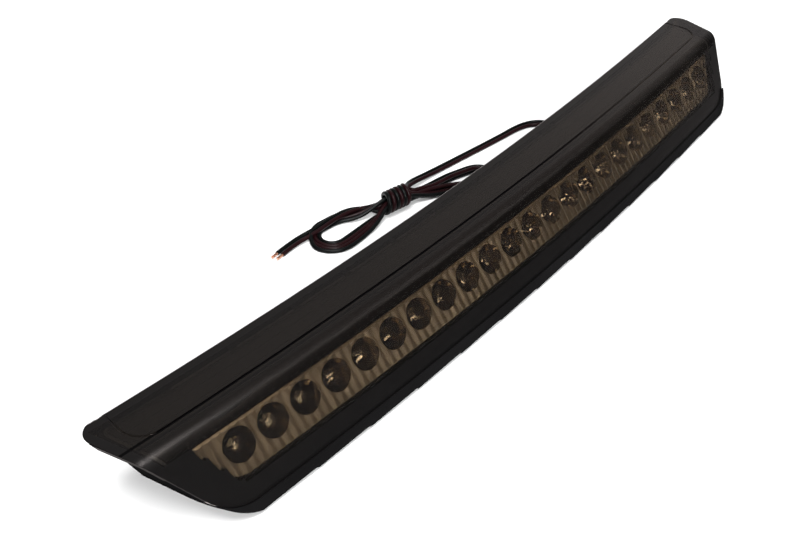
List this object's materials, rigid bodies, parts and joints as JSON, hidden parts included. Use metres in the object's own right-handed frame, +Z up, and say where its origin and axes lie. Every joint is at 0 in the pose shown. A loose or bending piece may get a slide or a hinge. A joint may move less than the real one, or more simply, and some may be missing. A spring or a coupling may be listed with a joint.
{
  "type": "tail light",
  "caption": "Long bowed LED light bar with a smoked sloping lens, flat base and a two-wire lead tied in a hank, for the rear of a motorcycle.",
  "frame": {"origin": "centre of the light's bounding box, without its wires, at the level of the adhesive tape's underside", "axes": "+X along the bar, -Y the way the LEDs face, +Z up from the mounting surface"},
  "size_m": [0.3484, 0.0904, 0.027],
  "materials": {
    "tray_plastic": "moulded black ABS, satin",
    "smoked_plastic": "smoke-tinted polycarbonate, polished",
    "sealant": "cured bead",
    "bezel_plastic": "moulded black ABS, fine texture",
    "metallised_plastic": "vacuum-metallised ABS",
    "board_laminate": "solder-mask coated laminate",
    "led_epoxy": "water-clear epoxy",
    "tinned_metal": "tin plated",
    "resistor_body": "lacquered",
    "diode_body": "moulded epoxy",
    "solder": "bright solder",
    "screw_steel": "zinc plated",
    "foam_tape": "acrylic foam",
    "grommet_rubber": "moulded rubber",
    "black_pvc": "gloss PVC",
    "red_pvc": "gloss PVC",
    "bare_copper": "stranded copper"
  },
  "bodies": {
    "root": {"tray": "tray_plastic", "smoked_lens": "smoked_plastic", "lens_sealant": "sealant", "window_bezel": "bezel_plastic", "reflector": "metallised_plastic", "led_board": "board_laminate", "led_lamps": "led_epoxy", "led_leads": "tinned_metal", "resistors": "resistor_body", "reverse_diode": "diode_body", "solder_joints": "solder", "board_screws": "screw_steel", "bezel_screws": "screw_steel", "front_tape": "foam_tape", "rear_tape": "foam_tape", "wire_grommet": "grommet_rubber", "inner_black_wire": "black_pvc", "inner_red_wire": "red_pvc", "black_lead": "black_pvc", "red_lead": "red_pvc", "wire_hank": "black_pvc", "black_tail": "black_pvc", "red_tail": "red_pvc", "black_wire_tip": "bare_copper", "red_wire_tip": "bare_copper"}
  },
  "joints": []
}
